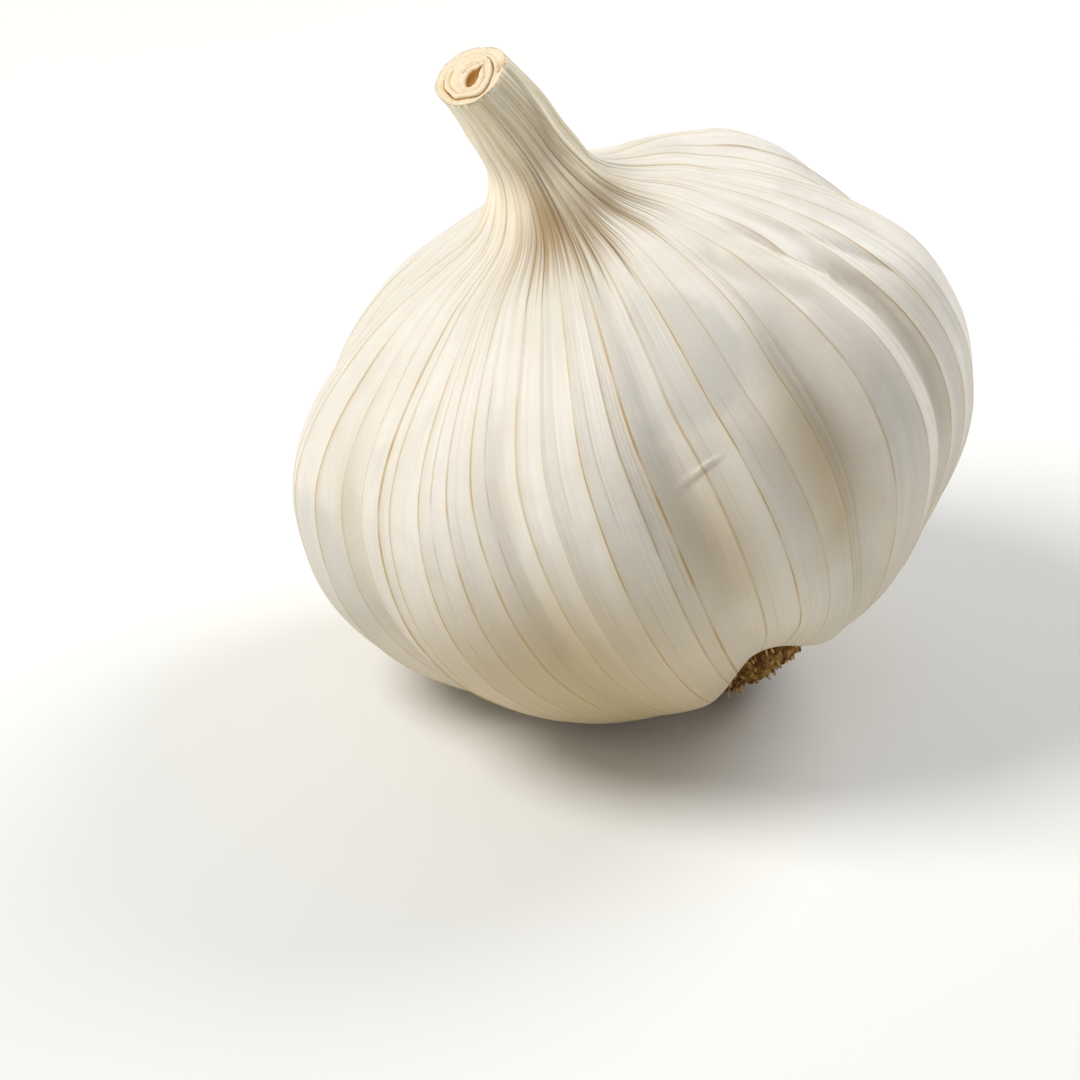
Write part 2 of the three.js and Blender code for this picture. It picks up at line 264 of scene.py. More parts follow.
def lobe_at(azimuth):
    """How far the lobe at an azimuth swells out, and how far its shoulder stands up."""
    rise = np.zeros_like(azimuth)
    shoulder = np.zeros_like(azimuth)
    for (valley, lobe_rise, crest, lobe_shoulder), following in zip(LOBES, LOBES[1:] + LOBES[:1]):
        width = (following[0] - valley) % 360
        across = (azimuth - valley) % 360 / width
        swell = np.sin(math.pi * np.minimum(across, 1) ** (math.log(0.5) / math.log(crest)))
        inside = across < 1
        rise = np.where(inside, lobe_rise * swell, rise)
        shoulder = np.where(inside, lobe_shoulder * swell, shoulder)
    return rise, shoulder


def drawn_up_at(azimuth, radius, height):
    """How far the skin is drawn up next to the root plate."""
    away = np.minimum(1, np.abs(azimuth - DRAWN_UP_AZIMUTH) / DRAWN_UP_SPREAD)
    near = ramp(*DRAWN_UP_START, radius) * (1 - ramp(*DRAWN_UP_END, height))
    return DRAWN_UP * np.cos(away * math.pi / 2) ** 2 * near


def cut_section(azimuth):
    """Radius of the squeezed neck at its cut, along a smooth closed curve through the measured points."""
    known, radii = np.array(CUT_SECTION, float).T
    fine = np.arange(-180, 180, 2.0)
    plain_radius = np.interp(fine, known, radii)
    reach = 12
    weights = bell(np.arange(-reach, reach + 1), 5.0)
    wrapped = np.concatenate([plain_radius[-reach:], plain_radius, plain_radius[:reach]])
    smooth_radius = np.convolve(wrapped, weights / weights.sum(), "valid")
    closed = np.append(smooth_radius, smooth_radius[0])
    return np.interp(off_azimuth(azimuth, 0), np.append(fine, 180), closed)


def on_axis(radius, azimuth, height):
    """A point of a section that is square to the neck's bent centre line."""
    radius, azimuth, height = np.broadcast_arrays(radius, azimuth, height)
    t = np.maximum(0, (height - NECK_START) / NECK_LENGTH)
    shift = NECK_SHIFT * ramp(*NECK_SHIFTS, height)
    centre = np.stack([shift + NECK_BEND[0] * t * t, NECK_BEND[1] * t * t, height + 0.0], -1)
    slope = 2 * t / NECK_LENGTH
    along = np.stack([NECK_BEND[0] * slope, NECK_BEND[1] * slope, np.ones_like(t)], -1)
    along /= np.linalg.norm(along, axis=-1, keepdims=True)
    turn = np.stack([-along[..., 1], along[..., 0], np.zeros_like(t)], -1)
    angle = np.radians(azimuth)
    spoke = np.stack([np.cos(angle), np.sin(angle), np.zeros_like(t)], -1)
    once = np.cross(turn, spoke)
    spoke = spoke + once + np.cross(turn, once) / (1 + along[..., 2:])
    return centre + radius[..., None] * spoke


def to_row(points):
    """Points of the bulb's own frame, in the row's frame in metres, none of them below the ground."""
    x, y, z = points[..., 0], points[..., 1], points[..., 2]
    across = x * math.cos(LEAN_LEFT) - z * math.sin(LEAN_LEFT)
    up = x * math.sin(LEAN_LEFT) + z * math.cos(LEAN_LEFT)
    away = y * math.cos(LEAN_BACK) + up * math.sin(LEAN_BACK)
    up = up * math.cos(LEAN_BACK) - y * math.sin(LEAN_BACK)
    row = np.stack([across, away, up], -1) - GROUND_POINT
    row[..., 2] = np.maximum(row[..., 2], 0)
    return row * MM


def vein_azimuth(index):
    """Azimuth of a vein. The veins keep an uneven distance, by a rule."""
    k = index % VEINS
    scatter = VEIN_SCATTER * (np.sin(2.4 * k) + np.sin(5.3 * k + 1))
    return 360 / VEINS * (index + scatter) - 180


def panel_share(panels):
    """Width of the panel that each column is in, against the mean width."""
    whole = np.floor(panels).astype(int)
    return (vein_azimuth(whole + 1) - vein_azimuth(whole)) * VEINS / 360


def waves(azimuth, height, count, seed, turns, rate=(0, 0)):
    """A sum of smooth waves round and along the bulb, about -1 to 1, always the same for a seed."""
    draw = np.random.default_rng(seed)
    total = 0
    for _ in range(count):
        k = draw.integers(turns[0], turns[1] + 1)
        w = draw.uniform(*rate)
        total = total + np.sin(np.radians(k * azimuth) + w * height + draw.uniform(0, 2 * math.pi))
    return total / math.sqrt(count)


def normals_of(points):
    """Outward normals of a grid of rings that close on themselves."""
    round_way = np.roll(points, -1, axis=1) - np.roll(points, 1, axis=1)
    up_way = np.gradient(points, axis=0)
    normals = np.cross(round_way, up_way)
    return normals / np.maximum(np.linalg.norm(normals, axis=-1, keepdims=True), 1e-9)


def from_line(points, start, end):
    """Distance of each point from a line between two points."""
    way = end - start
    share = np.clip(((points - start) @ way) / (way @ way), 0, 1)
    return np.linalg.norm(points - start - share[..., None] * way, axis=-1)


def make_mesh(name, vertices, faces, materials):
    mesh = bpy.data.meshes.new(name)
    mesh.from_pydata(vertices, [], faces)
    for material in materials:
        mesh.materials.append(material)
    mesh.shade_smooth()
    piece = bpy.data.objects.new(name, mesh)
    bpy.context.scene.collection.objects.link(piece)
    return piece


def ring_faces(rings, columns, start=0):
    """Quads between closed rings of equally many points that turn anticlockwise, from the lowest up."""
    k, j = np.meshgrid(np.arange(rings - 1), np.arange(columns), indexing="ij")
    following = (j + 1) % columns
    quads = np.stack(
        [k * columns + j, k * columns + following, (k + 1) * columns + following, (k + 1) * columns + j], -1
    )
    return (quads.reshape(-1, 4) + start).tolist()


def closed_faces(rings, columns):
    """Faces of closed rings, with a middle point before the first ring and one after the last."""
    faces = ring_faces(rings, columns, 1)
    end = 1 + rings * columns
    for j in range(columns):
        following = (j + 1) % columns
        faces.append([0, 1 + following, 1 + j])
        faces.append([end, end - columns + j, end - columns + following])
    return faces


# The skin
def skin_rings():
    """Radius and height of the skin's rings in the valleys."""
    radius, height = smooth_outline(OUTLINE, RINGS)
    outside = (height < TEAR_RINGS[0] - TEAR_RINGS_GAP) | (height > TEAR_RINGS[-1] + TEAR_RINGS_GAP)
    # The outline goes down a little before it goes up, so only its rising part is put in order
    up_from = np.argmin(height)
    merged = np.sort(np.concatenate([height[up_from:][outside[up_from:]], TEAR_RINGS]))
    radius = np.concatenate([radius[:up_from], np.interp(merged, height[up_from:], radius[up_from:])])
    height = np.concatenate([height[:up_from], merged])
    return radius[:, None], height[:, None]


def skin_grid():
    """Points of the plain skin from root plate to cut, and their panels, azimuths, radii and heights."""
    panels = (np.arange(VEINS)[:, None] + PANEL_COLUMNS).ravel()
    r, h = skin_rings()
    whole = np.floor(panels).astype(int)
    across = panels - whole
    azimuth = vein_azimuth(whole) * (1 - across) + vein_azimuth(whole + 1) * across
    wander = waves(azimuth, h, count=5, seed=3, turns=(3, 14), rate=(0.05, 0.2))
    azimuth = azimuth[None, :] + VEIN_WANDER * wander * (1 - ramp(*WANDER_ENDS, h))
    rise, shoulder = lobe_at(azimuth)
    swelling = LOBES_LEFT + (1 - LOBES_LEFT) * ramp(*LOBES_RISE, h) * (1 - ramp(*LOBES_SINK, h))
    full = r + rise * swelling * ramp(*LOBES_AT_ROOT, r)
    raised = ramp(*SHOULDERS_RISE, h) * (1 - ramp(*SHOULDERS_SINK, h))
    lifted = h + shoulder * raised + drawn_up_at(azimuth, r, h)
    folds = sum(depth * np.sin(np.radians(count * azimuth + turn)) for count, depth, turn in FOLDS)
    folded = r * folds * ramp(*FOLDS_START, h) * (1 - FOLDS_SOFTER * ramp(*FOLDS_SOFTEN, h))
    seam_azimuth = SEAM_AZIMUTH + SEAM_TURN * ramp(*SEAM_TURNS, h)
    from_seam = (azimuth - seam_azimuth + 90) % 360 - 90
    step = SEAM_STEP * np.clip(1 - from_seam / SEAM_WIDTH, 0, 1) * ramp(-SEAM_RISE, 0, from_seam)
    step = step * ramp(*SEAM_START, h)
    squeezed = (cut_section(azimuth) - CUT_RADIUS) * ramp(*SQUEEZE_START, h)
    behind = np.minimum(1, np.abs(off_azimuth(azimuth, NOTCH_AZIMUTH)) / NOTCH_SPREAD)
    notch = NOTCH_DEPTH * np.cos(behind * math.pi / 2) ** 2 * bell(h - NOTCH_HEIGHT, NOTCH_REACH)
    return on_axis(full + folded + step + squeezed - notch, azimuth, lifted), panels, azimuth, r, h


def from_valley(azimuth, r, h, valley, bend):
    """Distance round the bulb from a valley's line, which bends over the shoulder to the neck."""
    return np.radians(off_azimuth(azimuth, valley + bend * ramp(*VALLEYS_BEND, h))) * r


def vein_relief(panels, r, h):
    """Creases between the veins of the belly, and a fine rib along each."""
    whole = np.floor(panels).astype(int)
    across = panels - whole
    strength = VEIN_STRENGTH[whole % VEINS] * (1 - across) + VEIN_STRENGTH[(whole + 1) % VEINS] * across
    pleat = (2 * np.abs(2 * across - 1) ** CREASE_SHARP - 1) * strength
    width = 2 * math.pi * r / VEINS * panel_share(panels)
    depth = BELLY_CREASE * np.minimum(CREASE_MOST, (width / CREASE_PANEL) ** 1.5)
    from_vein = np.minimum(across, 1 - across) * width
    rib = RIB_HEIGHT * bell(from_vein, RIB_WIDTH) * (0.4 + strength)
    return (depth * pleat + rib) * ramp(*BELLY_START, h) * (1 - ramp(*BELLY_END, h))


def neck_relief(panels, azimuth, r, h):
    """Fine gathers round the foot of the neck, and its grooves and fibres."""
    gathers = GATHERS * waves(azimuth, h, count=8, seed=13, turns=(45, 120), rate=(0, 0.06))
    gathers = gathers * np.minimum(1, r / GATHERS_FULL_RADIUS) * ramp(*GATHERS_START, h)
    gathers = gathers * (1 - GATHERS_SOFTER * ramp(*GATHERS_END, h))
    whole = np.floor(panels).astype(int)
    across = panels - whole
    near = np.where(across < 0.5, GROOVE_STRENGTH[whole % VEINS], GROOVE_STRENGTH[(whole + 1) % VEINS])
    groove = NECK_GROOVE * r * near * np.cos(2 * math.pi * across)
    groove = groove * ramp(*GROOVES_START, h) * (1 - GROOVES_SOFTER * ramp(*GROOVES_END, h))
    fibres = FIBRES * waves(azimuth, h, count=6, seed=11, turns=(90, 170), rate=(0, 0.05))
    return gathers - groove + fibres * ramp(*FIBRES_START, h)


def valley_relief(azimuth, r, h):
    """The valleys between the cloves, each a little sharper than its lobes alone."""
    relief = 0
    for valley, depth, lowest, highest, bend, before, after, power, _ in VALLEYS:
        away = from_valley(azimuth, r, h, valley, bend)
        hollow = depth * np.exp(-((np.abs(away) / np.where(away < 0, before, after)) ** power))
        fading = ramp(lowest, lowest + VALLEY_START, h) * (1 - ramp(highest - VALLEY_END, highest, h))
        relief = relief - hollow * fading
    return relief


def tear_relief(azimuth, h):
    """The tear's lifted edge, and the shadow line below it."""
    first, second, height, rise, bow = TEAR
    along = np.clip((azimuth - first) / (second - first), 0, 1)
    above = h - height - rise * along - bow * np.sin(math.pi * along)
    lip = TEAR_LIP[0] * bell(above, TEAR_LIP[1])
    hollow = TEAR_HOLLOW[0] * bell(above + TEAR_HOLLOW_BELOW, TEAR_HOLLOW[1])
    return np.sqrt(np.sin(math.pi * along)) * (lip - hollow)


def skin_relief(panels, azimuth, r, h):
    """How far each point of the skin stands out from its plain form."""
    uneven = UNEVEN * waves(azimuth, h, count=7, seed=5, turns=(4, 16), rate=(0.05, 0.3))
    uneven = (uneven - INSET) * ramp(*BELLY_START, h) * (1 - ramp(*UNEVEN_END, h))
    relief = vein_relief(panels, r, h) + neck_relief(panels, azimuth, r, h) + valley_relief(azimuth, r, h)
    return relief + tear_relief(azimuth, h) + uneven


def bore_at(azimuth):
    """Radius of the outer leaf's inside at the cut, which follows its squeezed outside."""
    squeezed = BORE_SQUEEZE * (cut_section(azimuth) - SECTION_RADIUS)
    bumps = sum(height * bell(off_azimuth(azimuth, middle), spread) for middle, height, spread in BORE_BUMPS)
    return BORE_RADIUS + squeezed + bumps + 0.05 * waves(azimuth, 0, count=3, seed=21, turns=(2, 7))


def place(azimuth, height):
    """The point of the plain skin nearest to an azimuth and a height."""
    i = np.abs(skin_h[:, 0] - height).argmin()
    j = np.abs(off_azimuth(skin_azimuth[i], azimuth)).argmin()
    return plain[i, j]


def gap_at(azimuth, share):
    """How deep in the rim's small dark gap a point is, by its share of the way to the bore."""
    away = off_azimuth(azimuth, GAP_AZIMUTH) + GAP_SKEW * (share - GAP_SHARE)
    return bell(away, GAP_WIDTH) * bell(share - GAP_SHARE, GAP_REACH)


plain, panel_of, skin_azimuth, skin_r, skin_h = skin_grid()
relief = skin_relief(panel_of, skin_azimuth, skin_r, skin_h)
for start, end, rise, width in PUCKERS:
    relief = relief + rise * bell(from_line(plain, place(*start), place(*end)), width)
skin = plain + normals_of(plain) * relief[..., None]

# The rim of the cut and the bore inside it, after the outer rings
columns = panel_of.size
top_azimuth = skin_azimuth[-1]
bore_edge = bore_at(top_azimuth)
rim_inner = on_axis(bore_edge, top_azimuth, CUT_HEIGHT - RIM_BELOW)
rim_rings = []
for share, rise in RIM:
    lump = 0.04 * waves(top_azimuth, 9 * share, count=5, seed=31, turns=(5, 30), rate=(0.5, 2))
    ring = skin[-1] * (1 - share) + rim_inner * share
    ring[:, 2] += rise + lump - RIM_BELOW - GAP_DEPTH * gap_at(top_azimuth, share)
    rim_rings.append(ring)
for drop, narrower in BORE_WALL:
    rim_rings.append(on_axis(bore_edge * narrower, top_azimuth, CUT_HEIGHT - drop))
rings = np.concatenate([skin, np.stack(rim_rings)])
skin_first = on_axis(0, 0, ROOT_EDGE_HEIGHT)
skin_last = on_axis(0, 0, CUT_HEIGHT - BORE_WALL[-1][0])
skin_vertices = np.concatenate([skin_first[None], rings.reshape(-1, 3), skin_last[None]])
skin_faces = closed_faces(len(rings), columns)


# Materials
class Shader:
    """A material and short ways to add nodes to it."""

    def __init__(self, name):
        self.material = bpy.data.materials.new(name)
        self.material.use_nodes = True
        self.tree = self.material.node_tree
        self.surface = self.tree.nodes["Principled BSDF"]

    def node(self, kind, inputs=(), **settings):
        made = self.tree.nodes.new(kind)
        for key, value in settings.items():
            setattr(made, key, value)
        for key, value in dict(inputs).items():
            self.feed(made.inputs[key], value)
        return made

    def feed(self, socket, value):
        if isinstance(value, bpy.types.NodeSocket):
            self.tree.links.new(value, socket)
        elif value is not None:
            socket.default_value = value

    def dress(self, **values):
        """Sets inputs of the surface, named with lines for spaces."""
        for name, value in values.items():
            self.feed(self.surface.inputs[name.replace("_", " ")], value)

    def math(self, operation, a, b=None):
        return self.node("ShaderNodeMath", {0: a, 1: b}, operation=operation).outputs[0]

    def times(self, a, b):
        return self.math("MULTIPLY", a, b)

    def plus(self, a, b):
        return self.math("ADD", a, b)

    def less(self, a, b):
        return self.math("SUBTRACT", a, b)

    def over(self, value, low, high, to_low=0.0, to_high=1.0):
        """A smooth change from one number to another while the value crosses a range, which may run down."""
        return self.node(
            "ShaderNodeMapRange",
            {"Value": value, "From Min": low, "From Max": high, "To Min": to_low, "To Max": to_high},
            interpolation_type="SMOOTHSTEP",
        ).outputs["Result"]

    def beside(self, value, middle, inner, outer, beyond=0.0):
        """1 within the inner distance of a middle value, falling to the share beyond the outer distance."""
        return self.over(self.math("ABSOLUTE", self.less(value, middle)), inner, outer, 1.0, beyond)

    def mix(self, share, a, b):
        made = self.node("ShaderNodeMix", data_type="RGBA", blend_type="MIX")
        self.feed(made.inputs[0], share)
        self.feed(made.inputs[6], a)
        self.feed(made.inputs[7], b)
        return made.outputs[2]

    def noise(self, vector, scale, detail=3.0, roughness=0.5):
        return self.node(
            "ShaderNodeTexNoise",
            {"Vector": vector, "Scale": scale, "Detail": detail, "Roughness": roughness},
        ).outputs[0]

    def noise_at(self, w, detail=2.0):
        return self.node(
            "ShaderNodeTexNoise", {"W": w, "Scale": 1.0, "Detail": detail}, noise_dimensions="1D"
        ).outputs[0]

    def random(self, w):
        return self.node("ShaderNodeTexWhiteNoise", {"W": w}, noise_dimensions="1D").outputs["Value"]

    def attribute(self, name):
        """The three numbers stored at each corner under a name."""
        vector = self.node("ShaderNodeAttribute", attribute_name=name).outputs["Vector"]
        return self.split(vector)[:3]

    def position(self):
        return self.node("ShaderNodeTexCoord").outputs["Object"]

    def split(self, vector):
        return self.node("ShaderNodeSeparateXYZ", {0: vector}).outputs

    def join(self, x, y, z):
        return self.node("ShaderNodeCombineXYZ", {0: x, 1: y, 2: z}).outputs[0]

    def bump(self, height, distance, strength):
        made = self.node("ShaderNodeBump", {"Height": height, "Distance": distance, "Strength": strength})
        return made.outputs["Normal"]


def srgb(red, green, blue):
    """A colour from 0 to 255 in a picture, as the shader takes it."""
    return tuple(
        c / 255 / 12.92 if c <= 10 else ((c / 255 + 0.055) / 1.055) ** 2.4 for c in (red, green, blue)
    ) + (1.0,)


WHITE = srgb(237, 232, 223)
FIBRE_WHITE = srgb(229, 223, 212)
BROAD_WHITE = srgb(223, 217, 204)
BLOTCH_GREY = srgb(208, 203, 193)
MOTTLE_GREY = srgb(214, 206, 192)
STAIN_AND_SHADE_BROWN = srgb(190, 166, 116)
BARE_GREY = srgb(208, 204, 195)
BASE_TAN_AND_SHADE = srgb(206, 190, 152)
FLOOR_TAN_AND_SHADE = srgb(196, 170, 118)
GLOW_TAN = srgb(222, 200, 150)
VEIN_TAN = srgb(176, 144, 88)
FAINT_TAN = srgb(190, 164, 114)
NECK_CREAM = srgb(253, 243, 220)
NECK_TAN = srgb(229, 212, 176)
NECK_FOOT = srgb(126, 101, 61)
NECK_STREAK = srgb(150, 118, 66)
NECK_PALE = srgb(252, 240, 218)
NECK_RUST = srgb(206, 162, 104)
NECK_FILM_AND_SHADE = srgb(204, 196, 176)
GROOVE_BROWN = srgb(140, 112, 66)

# Panels in the middle of the neck's pale side, its rusty side, the grey-tan below its foot that is partly a
# real film and partly painted shade, its dark streak and its front
PALE_PANEL = 3.0
RUST_PANEL = 8.5
FILM_AND_SHADE_PANEL = 12.0
STREAK_PANEL = 13.1
FRONT_PANEL = 15.5


def vein_lines(s, panel, height, width):
    """The veins, each a line with a glow that comes and goes, and fainter lines between them."""
    vein = s.math("FLOORED_MODULO", s.math("ROUND", panel), VEINS)
    from_vein = s.times(s.math("ABSOLUTE", s.less(panel, s.math("ROUND", panel))), width)
    coming = s.noise_at(s.plus(s.times(height, 0.16), s.times(vein, 13.7)))
    strength = s.times(s.over(s.random(vein), 0.0, 1.0, 0.35, 1.0), s.over(coming, 0.3, 0.6, 0.45, 1.0))
    strength = s.times(strength, s.over(height, 39.0, 46.0, 1.0, 0.6))
    thick = s.over(s.random(s.plus(vein, 0.5)), 0.0, 1.0, 0.1, 0.19)
    line = s.times(s.over(from_vein, s.times(thick, 0.25), thick, 1.0, 0.0), strength)
    glow = s.times(s.over(from_vein, 0.0, 0.75, 1.0, 0.0), strength)

    index = s.math("FLOOR", panel)
    middle = s.over(s.random(s.plus(index, 100.5)), 0.0, 1.0, 0.3, 0.7)
    from_middle = s.times(s.math("ABSOLUTE", s.less(s.less(panel, index), middle)), width)
    coming_too = s.noise_at(s.plus(s.times(height, 0.12), s.times(index, 9.1)))
    faint = s.times(s.random(s.plus(index, 200.5)), s.over(coming_too, 0.35, 0.6))
    faint_line = s.times(s.over(from_middle, 0.02, 0.12, 1.0, 0.0), faint)
    return vein, from_vein, line, glow, faint_line


def paper_white(s, height, fibre, broad, mottle, stain_and_shade, rubbed):
    """White paper, mottled and rubbed, brown where it is stained and where shade is painted in the valleys
    and low on one side, and tan towards the base and near the floor, partly real tan and partly painted
    shade.
    """
    position = s.position()
    white = s.mix(s.over(fibre, 0.25, 0.75), WHITE, FIBRE_WHITE)
    white = s.mix(s.times(s.over(broad, 0.35, 0.7), 0.5), white, BROAD_WHITE)
    flat = s.node("ShaderNodeMapping", {"Vector": position, "Scale": (1, 1, 0.6)}).outputs[0]
    blotch = s.noise(flat, 95.0, 4.0, 0.6)
    white = s.mix(s.times(s.over(blotch, 0.5, 0.68), 0.5), white, BLOTCH_GREY)
    white = s.mix(s.times(s.over(mottle, 0.35, 0.75), 0.25), white, MOTTLE_GREY)
    # Brown from real stains and from painted shade in the valleys and low on one side
    white = s.mix(s.math("MINIMUM", s.times(stain_and_shade, 0.8), 0.8), white, STAIN_AND_SHADE_BROWN)
    bare = s.over(s.plus(rubbed, s.times(s.less(blotch, 0.5), 1.6)), -0.05, 0.3)
    white = s.mix(s.times(bare, 0.65), white, BARE_GREY)
    # Tan towards the base: partly the skin's real tan, partly painted warm shade
    base_tan_and_shade = s.over(s.plus(height, s.times(s.less(broad, 0.5), 9.0)), 24.0, 5.0)
    white = s.mix(s.times(base_tan_and_shade, 0.4), white, BASE_TAN_AND_SHADE)
    # Browner near the floor: partly the real tan of the base, partly painted shade
    level = s.split(position)[2]
    under = s.over(s.plus(level, s.times(s.less(broad, 0.5), 0.006)), 0.021, 0.003)
    return s.mix(s.times(under, 0.2), white, FLOOR_TAN_AND_SHADE)


def neck_colour(s, panel, height, streaks):
    """The tan neck, darkest at its foot, with a dark streak, and pale and rusty on one side."""
    tone = s.mix(s.over(streaks, 0.33, 0.66), NECK_CREAM, NECK_TAN)
    front = s.beside(panel, FRONT_PANEL, 5.0, 10.0, 0.2)
    foot = s.over(s.plus(height, s.times(s.less(streaks, 0.5), 4.0)), 52.5, 48.5)
    foot_lines = s.over(s.noise_at(s.plus(s.times(panel, 6.3), 80.0), 3.0), 0.4, 0.58, 0.6, 1.0)
    tone = s.mix(s.times(s.times(foot, front), foot_lines), tone, NECK_FOOT)
    dark_streak = s.times(s.beside(panel, STREAK_PANEL, 0.6, 2.8), s.over(height, 58.0, 50.0))
    tone = s.mix(s.times(dark_streak, 0.8), tone, NECK_STREAK)
    pale_side = s.beside(panel, PALE_PANEL, 4.0, 9.0)
    tone = s.mix(s.times(pale_side, 0.85), tone, NECK_PALE)
    rust = s.over(s.noise_at(s.plus(s.times(panel, 2.7), 120.0), 3.0), 0.5, 0.64)
    rust = s.times(s.times(rust, foot), s.beside(panel, RUST_PANEL, 2.0, 5.0, 0.1))
    return s.mix(s.times(rust, 0.6), tone, NECK_RUST), pale_side


def skin_material():
    """Papery skin with tan veins, which turns into the tan neck along a ragged edge."""
    s = Shader("papery_skin")
    panel, height, width = s.attribute("skin")
    # How brown each point is, from stains and painted shade, where the tan neck starts, and how rubbed it is
    stain_and_shade, tan_from, rubbed = s.attribute("wear_and_shade")
    angle = s.times(panel, 2 * math.pi / VEINS)
    cosine = s.math("COSINE", angle)
    sine = s.math("SINE", angle)

    def drawn_out(round_scale, up_scale, detail, roughness):
        """Noise that is drawn out along the veins."""
        place_on = s.join(s.times(cosine, round_scale), s.times(sine, round_scale), s.times(height, up_scale))
        return s.noise(place_on, 1.0, detail, roughness)

    fibre = drawn_out(60, 0.05, 4.0, 0.6)
    broad = drawn_out(9, 0.09, 3.0, 0.5)
    streaks = drawn_out(15, 0.1, 3.0, 0.65)
    mottle = s.noise(s.position(), 260.0, 3.0, 0.6)
    vein, from_vein, line, glow, faint_line = vein_lines(s, panel, height, width)
    colour = paper_white(s, height, fibre, broad, mottle, stain_and_shade, rubbed)
    colour = s.mix(s.times(glow, 0.22), colour, GLOW_TAN)
    colour = s.mix(s.times(line, 0.85), colour, VEIN_TAN)
    colour = s.mix(s.times(faint_line, 0.6), colour, FAINT_TAN)

    ragged_wide = s.noise_at(s.times(panel, 0.8), 2.0)
    ragged_fine = s.noise_at(s.plus(s.times(panel, 4.6), 50.0), 5.0)
    ragged = s.plus(s.times(s.less(ragged_wide, 0.5), 4.0), s.times(s.less(ragged_fine, 0.5), 7.0))
    from_edge = s.plus(s.less(height, tan_from), ragged)
    # Grey-tan below the neck's foot: partly a real film, partly painted shade
    film_and_shade = s.times(s.over(from_edge, -5.0, 0.5), s.beside(panel, FILM_AND_SHADE_PANEL, 2.5, 6.0))
    colour = s.mix(s.times(film_and_shade, 0.4), colour, NECK_FILM_AND_SHADE)
    neck_tone, pale_side = neck_colour(s, panel, height, streaks)
    colour = s.mix(s.times(s.over(from_edge, -0.8, 2.6), 0.92), colour, neck_tone)
    groove = s.times(s.over(from_vein, 0.01, 0.1, 1.0, 0.0), s.over(s.random(s.plus(vein, 300.5)), 0.2, 0.9))
    in_neck = s.times(s.over(from_edge, -2.2, 0.4), s.over(height, 60.0, 49.0, 0.2, 0.75))
    in_neck = s.times(in_neck, s.over(pale_side, 0.0, 1.0, 1.0, 0.45))
    colour = s.mix(s.times(groove, in_neck), colour, GROOVE_BROWN)

    grain = s.plus(fibre, s.times(mottle, 0.35))
    s.dress(
        Base_Color=colour,
        Roughness=s.over(fibre, 0.2, 0.8, 0.42, 0.6),
        Specular_IOR_Level=0.4,
        Subsurface_Weight=0.18,
        Subsurface_Radius=(1.0, 0.75, 0.45),
        Subsurface_Scale=0.0025,
        Normal=s.bump(grain, 0.00012, 0.6),
    )
    return s.material


def cut_material():
    """The cut end of the neck: cream, in thin turns, with orange-brown edges."""
    s = Shader("cut_leaf")
    radius, _, depth = s.attribute("cut")
    mottle = s.noise(s.position(), 900.0, 3.0, 0.6)
    turns = s.noise_at(s.plus(s.times(radius, 5.0), s.times(mottle, 0.8)), 2.0)
    cream = s.mix(s.over(turns, 0.35, 0.65), srgb(238, 224, 199), srgb(227, 208, 174))
    cream = s.mix(s.times(s.over(mottle, 0.45, 0.7), 0.35), cream, srgb(222, 194, 150))
    brown = s.mix(s.over(mottle, 0.3, 0.7), srgb(212, 164, 90), srgb(172, 128, 58))
    s.dress(
        Base_Color=s.mix(s.over(depth, 0.15, 0.9), cream, brown),
        Roughness=0.7,
        Subsurface_Weight=0.15,
        Subsurface_Radius=(1.0, 0.7, 0.4),
        Subsurface_Scale=0.0015,
        Normal=s.bump(s.plus(turns, mottle), 0.0001, 0.6),
    )
    return s.material


def cork_material():
    """Rough brown cork."""
    s = Shader("root_cork")
    lumps = s.noise(s.position(), 900.0, 4.0, 0.65)
    patches = s.noise(s.position(), 260.0, 3.0, 0.5)
    share = s.over(s.plus(s.times(lumps, 0.6), s.times(patches, 0.4)), 0.4, 0.62)
    s.dress(
        Base_Color=s.mix(share, srgb(98, 63, 25), srgb(198, 154, 86)),
        Roughness=0.9,
        Specular_IOR_Level=0.2,
        Normal=s.bump(lumps, 0.0004, 0.9),
    )
    return s.material


def root_material():
    """Dry trimmed roots, each of its own tone, darkest where they leave the plate."""
    s = Shader("dry_root")
    tone, along, _ = s.attribute("strand")
    lumps = s.noise(s.position(), 1500.0, 3.0, 0.6)
    share = s.over(s.plus(tone, s.times(s.less(lumps, 0.5), 0.8)), 0.1, 0.9)
    colour = s.mix(share, srgb(138, 98, 46), srgb(226, 188, 120))
    s.dress(
        Base_Color=s.mix(s.over(along, 0.6, 0.15, 0.0, 0.7), colour, srgb(94, 62, 25)),
        Roughness=0.85,
        Specular_IOR_Level=0.2,
        Normal=s.bump(lumps, 0.0002, 0.8),
    )
    return s.material


SKIN = skin_material()
CUT = cut_material()
CORK = cork_material()
ROOT = root_material()


def set_corners(mesh, name, values):
    """Stores three numbers for each corner of the mesh's faces."""
    made = mesh.attributes.new(name, "FLOAT_VECTOR", "CORNER")
    made.data.foreach_set("vector", np.ascontiguousarray(values, np.float32).ravel())


def read_numbers(rows, name):
    """One whole number of each corner or face of a mesh."""
    found = np.empty(len(rows), int)
    rows.foreach_get(name, found)
    return found


bulb_skin = make_mesh("bulb_skin", to_row(skin_vertices).tolist(), skin_faces, [SKIN, CUT])
skin_mesh = bulb_skin.data
corners = read_numbers(skin_mesh.loops, "vertex_index")
ring_of = np.clip((corners - 1) // columns, 0, len(rings) - 1)
column_of = (corners - 1) % columns

